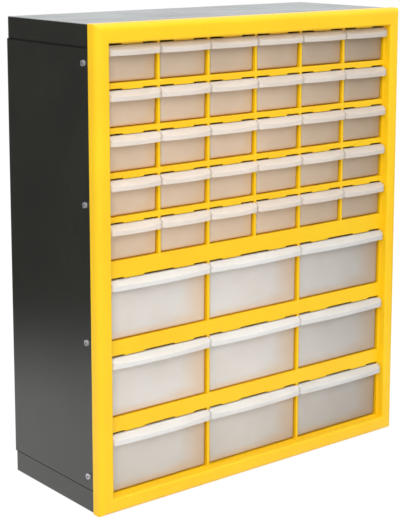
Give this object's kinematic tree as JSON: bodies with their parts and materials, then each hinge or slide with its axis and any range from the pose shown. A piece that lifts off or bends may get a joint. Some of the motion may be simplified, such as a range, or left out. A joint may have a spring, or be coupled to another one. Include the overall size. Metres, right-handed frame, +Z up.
{
  "type": "small parts drawer cabinet",
  "caption": "Tall parts bin cabinet with a moulded front frame, a folded sheet-steel case and frosted pull-out drawers, small above and large below.",
  "frame": {"origin": "centre of the footprint, on the surface that the cabinet stands on", "axes": "+X to the right seen from the front, +Y from the front to the back, +Z up"},
  "size_m": [0.3824, 0.152, 0.452],
  "materials": {
    "frame_plastic": "warm yellow injection-moulded plastic with a fine satin grain",
    "drawer_plastic": "frosted translucent plastic, pale and slightly cloudy",
    "case_paint": "dark grey powder-coated sheet steel, low sheen",
    "screw_steel": "bright zinc-plated steel"
  },
  "bodies": {
    "cabinet": {"front_frame": "frame_plastic", "case_wrap": "case_paint", "top_tray": "case_paint", "bottom_tray": "case_paint", "frame_screws_left": "screw_steel", "frame_screws_right": "screw_steel"},
    "small_r1_c1": {"drawer_small_r1_c1": "drawer_plastic"},
    "small_r1_c2": {"drawer_small_r1_c2": "drawer_plastic"},
    "small_r1_c3": {"drawer_small_r1_c3": "drawer_plastic"},
    "small_r1_c4": {"drawer_small_r1_c4": "drawer_plastic"},
    "small_r1_c5": {"drawer_small_r1_c5": "drawer_plastic"},
    "small_r1_c6": {"drawer_small_r1_c6": "drawer_plastic"},
    "small_r2_c1": {"drawer_small_r2_c1": "drawer_plastic"},
    "small_r2_c2": {"drawer_small_r2_c2": "drawer_plastic"},
    "small_r2_c3": {"drawer_small_r2_c3": "drawer_plastic"},
    "small_r2_c4": {"drawer_small_r2_c4": "drawer_plastic"},
    "small_r2_c5": {"drawer_small_r2_c5": "drawer_plastic"},
    "small_r2_c6": {"drawer_small_r2_c6": "drawer_plastic"},
    "small_r3_c1": {"drawer_small_r3_c1": "drawer_plastic"},
    "small_r3_c2": {"drawer_small_r3_c2": "drawer_plastic"},
    "small_r3_c3": {"drawer_small_r3_c3": "drawer_plastic"},
    "small_r3_c4": {"drawer_small_r3_c4": "drawer_plastic"},
    "small_r3_c5": {"drawer_small_r3_c5": "drawer_plastic"},
    "small_r3_c6": {"drawer_small_r3_c6": "drawer_plastic"},
    "small_r4_c1": {"drawer_small_r4_c1": "drawer_plastic"},
    "small_r4_c2": {"drawer_small_r4_c2": "drawer_plastic"},
    "small_r4_c3": {"drawer_small_r4_c3": "drawer_plastic"},
    "small_r4_c4": {"drawer_small_r4_c4": "drawer_plastic"},
    "small_r4_c5": {"drawer_small_r4_c5": "drawer_plastic"},
    "small_r4_c6": {"drawer_small_r4_c6": "drawer_plastic"},
    "small_r5_c1": {"drawer_small_r5_c1": "drawer_plastic"},
    "small_r5_c2": {"drawer_small_r5_c2": "drawer_plastic"},
    "small_r5_c3": {"drawer_small_r5_c3": "drawer_plastic"},
    "small_r5_c4": {"drawer_small_r5_c4": "drawer_plastic"},
    "small_r5_c5": {"drawer_small_r5_c5": "drawer_plastic"},
    "small_r5_c6": {"drawer_small_r5_c6": "drawer_plastic"},
    "large_r1_c1": {"drawer_large_r1_c1": "drawer_plastic", "divider_r1_c1": "drawer_plastic"},
    "large_r1_c2": {"drawer_large_r1_c2": "drawer_plastic", "divider_r1_c2": "drawer_plastic"},
    "large_r1_c3": {"drawer_large_r1_c3": "drawer_plastic", "divider_r1_c3": "drawer_plastic"},
    "large_r2_c1": {"drawer_large_r2_c1": "drawer_plastic", "divider_r2_c1": "drawer_plastic"},
    "large_r2_c2": {"drawer_large_r2_c2": "drawer_plastic", "divider_r2_c2": "drawer_plastic"},
    "large_r2_c3": {"drawer_large_r2_c3": "drawer_plastic", "divider_r2_c3": "drawer_plastic"},
    "large_r3_c1": {"drawer_large_r3_c1": "drawer_plastic", "divider_r3_c1": "drawer_plastic"},
    "large_r3_c2": {"drawer_large_r3_c2": "drawer_plastic", "divider_r3_c2": "drawer_plastic"},
    "large_r3_c3": {"drawer_large_r3_c3": "drawer_plastic", "divider_r3_c3": "drawer_plastic"}
  },
  "joints": [
    {"name": "pull_small_r1_c1", "type": "slide", "parent": "cabinet", "child": "small_r1_c1", "axis": [0, -1, 0], "range_m": [0, 0.1238]},
    {"name": "pull_small_r1_c2", "type": "slide", "parent": "cabinet", "child": "small_r1_c2", "axis": [0, -1, 0], "range_m": [0, 0.1238]},
    {"name": "pull_small_r1_c3", "type": "slide", "parent": "cabinet", "child": "small_r1_c3", "axis": [0, -1, 0], "range_m": [0, 0.1238]},
    {"name": "pull_small_r1_c4", "type": "slide", "parent": "cabinet", "child": "small_r1_c4", "axis": [0, -1, 0], "range_m": [0, 0.1238]},
    {"name": "pull_small_r1_c5", "type": "slide", "parent": "cabinet", "child": "small_r1_c5", "axis": [0, -1, 0], "range_m": [0, 0.1238]},
    {"name": "pull_small_r1_c6", "type": "slide", "parent": "cabinet", "child": "small_r1_c6", "axis": [0, -1, 0], "range_m": [0, 0.1238]},
    {"name": "pull_small_r2_c1", "type": "slide", "parent": "cabinet", "child": "small_r2_c1", "axis": [0, -1, 0], "range_m": [0, 0.1238]},
    {"name": "pull_small_r2_c2", "type": "slide", "parent": "cabinet", "child": "small_r2_c2", "axis": [0, -1, 0], "range_m": [0, 0.1238]},
    {"name": "pull_small_r2_c3", "type": "slide", "parent": "cabinet", "child": "small_r2_c3", "axis": [0, -1, 0], "range_m": [0, 0.1238]},
    {"name": "pull_small_r2_c4", "type": "slide", "parent": "cabinet", "child": "small_r2_c4", "axis": [0, -1, 0], "range_m": [0, 0.1238]},
    {"name": "pull_small_r2_c5", "type": "slide", "parent": "cabinet", "child": "small_r2_c5", "axis": [0, -1, 0], "range_m": [0, 0.1238]},
    {"name": "pull_small_r2_c6", "type": "slide", "parent": "cabinet", "child": "small_r2_c6", "axis": [0, -1, 0], "range_m": [0, 0.1238]},
    {"name": "pull_small_r3_c1", "type": "slide", "parent": "cabinet", "child": "small_r3_c1", "axis": [0, -1, 0], "range_m": [0, 0.1238]},
    {"name": "pull_small_r3_c2", "type": "slide", "parent": "cabinet", "child": "small_r3_c2", "axis": [0, -1, 0], "range_m": [0, 0.1238]},
    {"name": "pull_small_r3_c3", "type": "slide", "parent": "cabinet", "child": "small_r3_c3", "axis": [0, -1, 0], "range_m": [0, 0.1238]},
    {"name": "pull_small_r3_c4", "type": "slide", "parent": "cabinet", "child": "small_r3_c4", "axis": [0, -1, 0], "range_m": [0, 0.1238]},
    {"name": "pull_small_r3_c5", "type": "slide", "parent": "cabinet", "child": "small_r3_c5", "axis": [0, -1, 0], "range_m": [0, 0.1238]},
    {"name": "pull_small_r3_c6", "type": "slide", "parent": "cabinet", "child": "small_r3_c6", "axis": [0, -1, 0], "range_m": [0, 0.1238]},
    {"name": "pull_small_r4_c1", "type": "slide", "parent": "cabinet", "child": "small_r4_c1", "axis": [0, -1, 0], "range_m": [0, 0.1238]},
    {"name": "pull_small_r4_c2", "type": "slide", "parent": "cabinet", "child": "small_r4_c2", "axis": [0, -1, 0], "range_m": [0, 0.1238]},
    {"name": "pull_small_r4_c3", "type": "slide", "parent": "cabinet", "child": "small_r4_c3", "axis": [0, -1, 0], "range_m": [0, 0.1238]},
    {"name": "pull_small_r4_c4", "type": "slide", "parent": "cabinet", "child": "small_r4_c4", "axis": [0, -1, 0], "range_m": [0, 0.1238]},
    {"name": "pull_small_r4_c5", "type": "slide", "parent": "cabinet", "child": "small_r4_c5", "axis": [0, -1, 0], "range_m": [0, 0.1238]},
    {"name": "pull_small_r4_c6", "type": "slide", "parent": "cabinet", "child": "small_r4_c6", "axis": [0, -1, 0], "range_m": [0, 0.1238]},
    {"name": "pull_small_r5_c1", "type": "slide", "parent": "cabinet", "child": "small_r5_c1", "axis": [0, -1, 0], "range_m": [0, 0.1238]},
    {"name": "pull_small_r5_c2", "type": "slide", "parent": "cabinet", "child": "small_r5_c2", "axis": [0, -1, 0], "range_m": [0, 0.1238]},
    {"name": "pull_small_r5_c3", "type": "slide", "parent": "cabinet", "child": "small_r5_c3", "axis": [0, -1, 0], "range_m": [0, 0.1238]},
    {"name": "pull_small_r5_c4", "type": "slide", "parent": "cabinet", "child": "small_r5_c4", "axis": [0, -1, 0], "range_m": [0, 0.1238]},
    {"name": "pull_small_r5_c5", "type": "slide", "parent": "cabinet", "child": "small_r5_c5", "axis": [0, -1, 0], "range_m": [0, 0.1238]},
    {"name": "pull_small_r5_c6", "type": "slide", "parent": "cabinet", "child": "small_r5_c6", "axis": [0, -1, 0], "range_m": [0, 0.1238]},
    {"name": "pull_large_r1_c1", "type": "slide", "parent": "cabinet", "child": "large_r1_c1", "axis": [0, -1, 0], "range_m": [0, 0.1238]},
    {"name": "pull_large_r1_c2", "type": "slide", "parent": "cabinet", "child": "large_r1_c2", "axis": [0, -1, 0], "range_m": [0, 0.1238]},
    {"name": "pull_large_r1_c3", "type": "slide", "parent": "cabinet", "child": "large_r1_c3", "axis": [0, -1, 0], "range_m": [0, 0.1238]},
    {"name": "pull_large_r2_c1", "type": "slide", "parent": "cabinet", "child": "large_r2_c1", "axis": [0, -1, 0], "range_m": [0, 0.1238]},
    {"name": "pull_large_r2_c2", "type": "slide", "parent": "cabinet", "child": "large_r2_c2", "axis": [0, -1, 0], "range_m": [0, 0.1238]},
    {"name": "pull_large_r2_c3", "type": "slide", "parent": "cabinet", "child": "large_r2_c3", "axis": [0, -1, 0], "range_m": [0, 0.1238]},
    {"name": "pull_large_r3_c1", "type": "slide", "parent": "cabinet", "child": "large_r3_c1", "axis": [0, -1, 0], "range_m": [0, 0.1238]},
    {"name": "pull_large_r3_c2", "type": "slide", "parent": "cabinet", "child": "large_r3_c2", "axis": [0, -1, 0], "range_m": [0, 0.1238]},
    {"name": "pull_large_r3_c3", "type": "slide", "parent": "cabinet", "child": "large_r3_c3", "axis": [0, -1, 0], "range_m": [0, 0.1238]}
  ]
}
